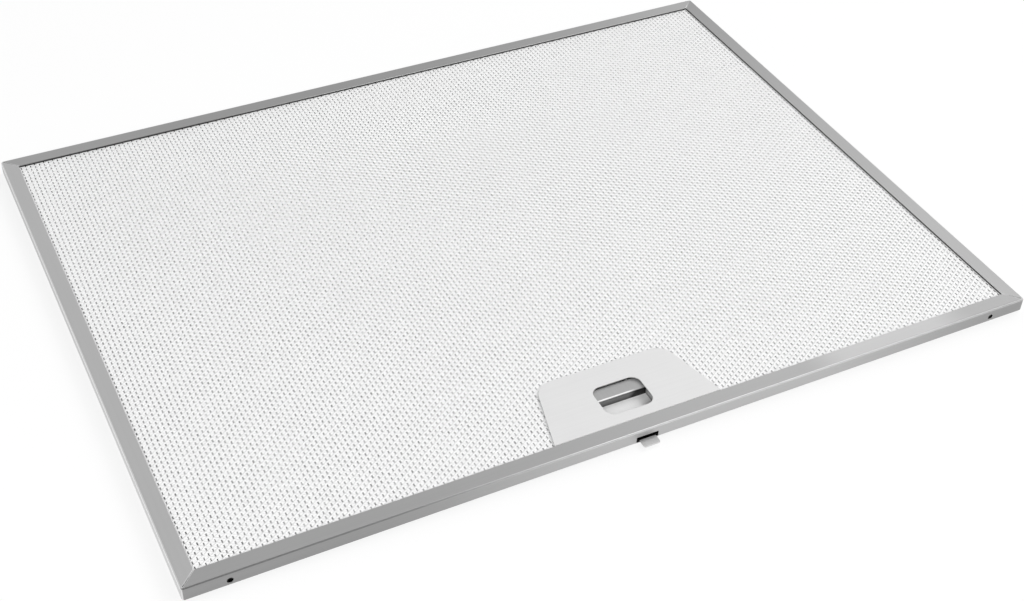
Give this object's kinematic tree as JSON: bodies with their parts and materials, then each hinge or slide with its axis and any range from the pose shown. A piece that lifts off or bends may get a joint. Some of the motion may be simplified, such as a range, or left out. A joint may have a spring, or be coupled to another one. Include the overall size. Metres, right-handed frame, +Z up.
{
  "type": "cooker hood grease filter",
  "caption": "Flat rectangular cooker hood grease filter: a folded channel frame round layers of expanded metal, with a sprung finger latch in a cover plate at the front edge.",
  "frame": {"origin": "middle of the frame's footprint, on the surface that the filter lies on with its latch side up", "axes": "+X along the long side, -Y towards the edge with the latch tongue, +Z up through the thickness"},
  "size_m": [0.46, 0.345, 0.008],
  "materials": {
    "frame": "satin, roll-formed strip",
    "mesh": "bright expanded metal",
    "inner_mesh": "crimped foil mesh",
    "latch_plate": "fine satin sheet",
    "latch_steel": "pressed sheet",
    "spring_steel": "drawn wire"
  },
  "bodies": {
    "filter": {"frame": "frame", "back_mesh": "mesh", "inner_mesh_lower": "inner_mesh", "inner_mesh_middle": "inner_mesh", "inner_mesh_upper": "inner_mesh", "face_mesh": "mesh", "latch_plate": "latch_plate", "latch_tray": "latch_steel", "latch_spring_left": "spring_steel", "latch_spring_right": "spring_steel"},
    "latch": {"latch_slider": "latch_steel"}
  },
  "joints": [
    {"name": "latch_slide", "type": "slide", "parent": "filter", "child": "latch", "axis": [0, 1, 0], "range_m": [0, 0.0053], "stiffness_N_per_m": 600, "springref_m": -0.004, "deforming": ["latch_spring_left", "latch_spring_right"]}
  ]
}
